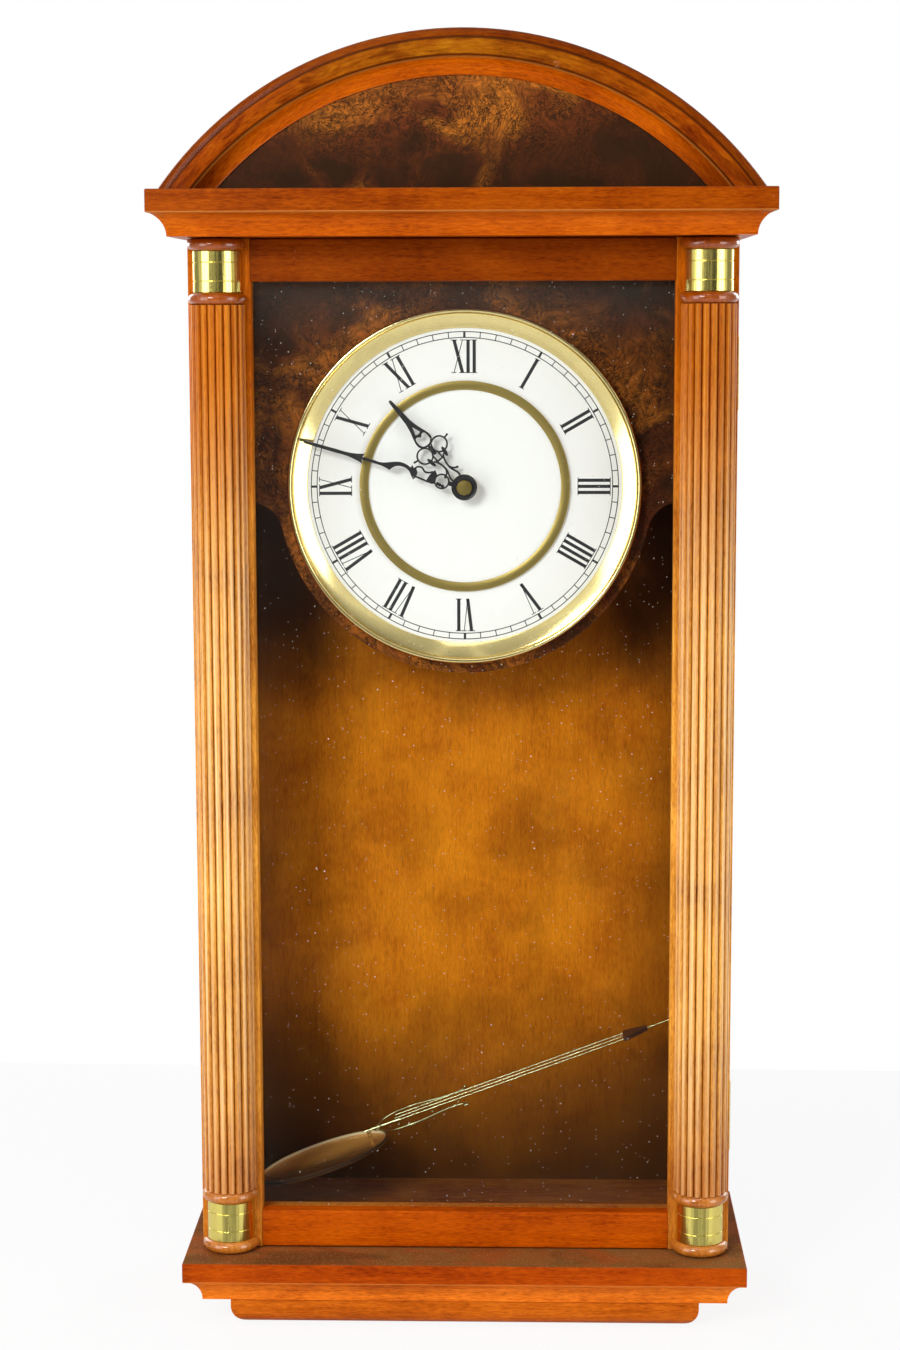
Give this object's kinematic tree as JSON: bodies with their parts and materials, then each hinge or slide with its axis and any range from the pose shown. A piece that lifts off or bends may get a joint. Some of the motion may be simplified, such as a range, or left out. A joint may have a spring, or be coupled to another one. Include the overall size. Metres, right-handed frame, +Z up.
{
  "type": "wall clock",
  "caption": "Wall clock in a glazed wooden case with an arched pediment, reeded half columns, a round dial with hands, and a pendulum lying loose in the case.",
  "frame": {"origin": "centre of the hanging hole, on the wall plane at the back of the case", "axes": "+Z up, +Y towards the wall, so the dial faces -Y and +X is to the viewer's right"},
  "size_m": [0.318, 0.134, 0.6842],
  "materials": {
    "case_wood": "stained and lacquered, glossy",
    "veneer_wood": "burl veneer, lacquered",
    "panel_wood": "stained plywood, satin",
    "plain_wood": "unfinished",
    "polished_brass": "polished and lacquered",
    "aged_brass": "dull, dusty",
    "plated_steel": "plated",
    "black_metal": "black enamel",
    "dial_white": "white lacquer with printed numerals",
    "clear_glass": "clear, dusty",
    "black_plastic": "moulded",
    "white_plastic": "moulded",
    "brown_plastic": "moulded",
    "soft_rubber": "plain",
    "cell_sleeve": "printed sleeve",
    "copper_wire": "enamelled winding",
    "board_green": "laminate"
  },
  "bodies": {
    "case": {"cornice_board": "case_wood", "arch_frame": "case_wood", "side_left": "case_wood", "side_right": "case_wood", "base_board": "case_wood", "bottom_block": "case_wood", "case_floor": "case_wood", "pediment_panel": "veneer_wood", "dial_board": "veneer_wood", "back_panel": "panel_wood", "hanging_cleat": "plain_wood", "dial_board_cleats": "plain_wood", "dial_bezel": "polished_brass", "inner_dial_ring": "polished_brass", "centre_nut": "polished_brass", "hinge_case_leaves": "polished_brass", "hinge_pins": "polished_brass", "hinge_case_screws": "polished_brass", "keyhole_plate": "plated_steel", "keyhole_screws": "plated_steel", "battery_contacts": "plated_steel", "motor_stator": "plated_steel", "motor_rotor": "plated_steel", "timing_crystal": "plated_steel", "hanger_pin": "plated_steel", "dial_plate": "dial_white", "movement_case": "black_plastic", "movement_cover": "black_plastic", "catch_magnet": "black_plastic", "rubber_washer": "soft_rubber", "battery": "cell_sleeve", "motor_coil": "copper_wire", "pendulum_coil": "copper_wire", "circuit_board": "board_green"},
    "door": {"door_stile_left": "case_wood", "door_stile_right": "case_wood", "door_rail_top": "case_wood", "door_rail_bottom": "case_wood", "door_glass": "clear_glass", "glass_beads": "case_wood", "column_left": "case_wood", "column_right": "case_wood", "column_sleeves": "polished_brass", "hinge_door_leaves": "polished_brass", "hinge_door_screws": "polished_brass", "strike_plate": "plated_steel"},
    "minute_hand_body": {"minute_arbor": "white_plastic", "minute_hand": "black_metal", "hand_nut": "polished_brass"},
    "hour_hand_body": {"hour_wheel": "white_plastic", "hour_hand": "black_metal"},
    "intermediate_body": {"intermediate_wheel": "white_plastic"},
    "setting_body": {"setting_knob": "black_plastic"},
    "hanger_body": {"pendulum_hanger": "white_plastic"},
    "pendulum": {"pendulum_bob": "aged_brass", "pendulum_lyre": "aged_brass", "pendulum_rods": "aged_brass", "pendulum_yoke": "brown_plastic", "pendulum_hook": "aged_brass", "rating_nut": "aged_brass"}
  },
  "joints": [
    {"name": "door_hinge", "type": "hinge", "parent": "case", "child": "door", "pos_m": [0.1426, -0.08138, -0.25455], "axis": [0, 0, 1], "range_deg": [0, 110]},
    {"name": "minute_turn", "type": "hinge", "parent": "case", "child": "minute_hand_body", "pos_m": [0, -0.06, -0.1142], "axis": [0, 1, 0], "continuous": true},
    {"name": "intermediate_turn", "type": "hinge", "parent": "case", "child": "intermediate_body", "pos_m": [-0.012, -0.054, -0.1142], "axis": [0, 1, 0], "continuous": true},
    {"name": "hour_turn", "type": "hinge", "parent": "case", "child": "hour_hand_body", "pos_m": [0, -0.06, -0.1142], "axis": [0, 1, 0], "continuous": true},
    {"name": "setting_turn", "type": "hinge", "parent": "case", "child": "setting_body", "pos_m": [-0.02049, -0.045, -0.12269], "axis": [0, 1, 0], "continuous": true},
    {"name": "hanger_swing", "type": "hinge", "parent": "case", "child": "hanger_body", "pos_m": [0, -0.047, -0.1552], "axis": [0, 1, 0], "range_deg": [-6, 6]},
    {"name": "pendulum_lift", "type": "slide", "parent": "case", "child": "pendulum", "axis": [0, 0, 1], "range_m": [0, 0.15]}
  ],
  "couplings": [
    {"joint": "intermediate_turn", "follows": "minute_turn", "ratio": -0.33333},
    {"joint": "hour_turn", "follows": "minute_turn", "ratio": 0.083333},
    {"joint": "setting_turn", "follows": "minute_turn", "ratio": 1}
  ]
}
